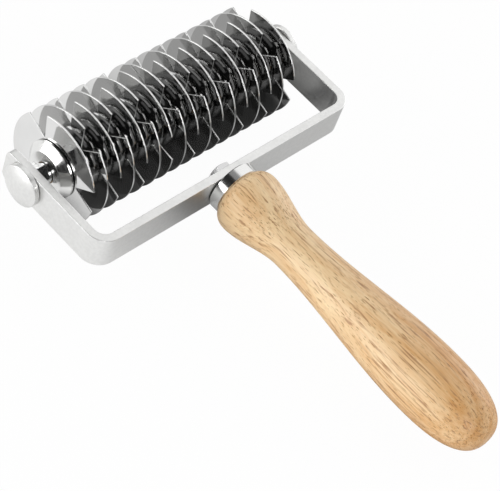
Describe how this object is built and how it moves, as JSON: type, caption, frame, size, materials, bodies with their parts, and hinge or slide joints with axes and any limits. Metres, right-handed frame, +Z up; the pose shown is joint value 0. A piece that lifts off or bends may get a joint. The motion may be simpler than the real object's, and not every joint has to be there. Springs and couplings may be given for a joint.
{
  "type": "lattice roller cutter",
  "caption": "Pastry lattice roller: staggered notched steel discs turn on an axle held in a bent steel yoke with domed nuts and a turned wooden handle.",
  "frame": {"origin": "on the table under the middle of the tool's bounding box, as it lies on its discs and on the swell of its handle", "axes": "+Z up from the table, +X along the axle, +Y from the handle towards the roller"},
  "size_m": [0.1512, 0.2132, 0.0476],
  "materials": {
    "disc_steel": "mirror polished stainless steel",
    "polished_steel": "polished turned stainless steel",
    "satin_steel": "satin tumbled stainless steel",
    "plain_steel": "turned steel",
    "bronze": "plain turned bearing bronze",
    "black_plastic": "glossy black moulded plastic",
    "handle_wood": "pale hardwood under a clear satin lacquer"
  },
  "bodies": {
    "frame": {"yoke": "satin_steel", "axle_rod": "plain_steel", "cap_nut_left": "satin_steel", "cap_nut_right": "satin_steel", "thrust_collar_left": "plain_steel", "thrust_collar_right": "plain_steel", "jam_nut_left": "plain_steel", "jam_nut_right": "plain_steel", "handle_collar": "polished_steel", "handle_bolt": "plain_steel", "thread_insert": "bronze", "wooden_handle": "handle_wood"},
    "roller": {"cutting_disc_01": "disc_steel", "cutting_disc_02": "disc_steel", "cutting_disc_03": "disc_steel", "cutting_disc_04": "disc_steel", "cutting_disc_05": "disc_steel", "cutting_disc_06": "disc_steel", "cutting_disc_07": "disc_steel", "cutting_disc_08": "disc_steel", "cutting_disc_09": "disc_steel", "cutting_disc_10": "disc_steel", "cutting_disc_11": "disc_steel", "cutting_disc_12": "disc_steel", "cutting_disc_13": "disc_steel", "cutting_disc_14": "disc_steel", "cutting_disc_15": "disc_steel", "cutting_disc_16": "disc_steel", "cutting_disc_17": "disc_steel", "spacer_ring_01": "black_plastic", "spacer_ring_02": "black_plastic", "spacer_ring_03": "black_plastic", "spacer_ring_04": "black_plastic", "spacer_ring_05": "black_plastic", "spacer_ring_06": "black_plastic", "spacer_ring_07": "black_plastic", "spacer_ring_08": "black_plastic", "spacer_ring_09": "black_plastic", "spacer_ring_10": "black_plastic", "spacer_ring_11": "black_plastic", "spacer_ring_12": "black_plastic", "spacer_ring_13": "black_plastic", "spacer_ring_14": "black_plastic", "spacer_ring_15": "black_plastic", "spacer_ring_16": "black_plastic", "core_sleeve": "plain_steel", "end_cone_left": "polished_steel", "end_cone_right": "polished_steel", "bearing_bush_left": "bronze", "bearing_bush_right": "bronze"}
  },
  "joints": [
    {"name": "roller_spin", "type": "hinge", "parent": "frame", "child": "roller", "pos_m": [0, 0.08277, 0.0238], "axis": [1, 0, 0], "continuous": true}
  ]
}
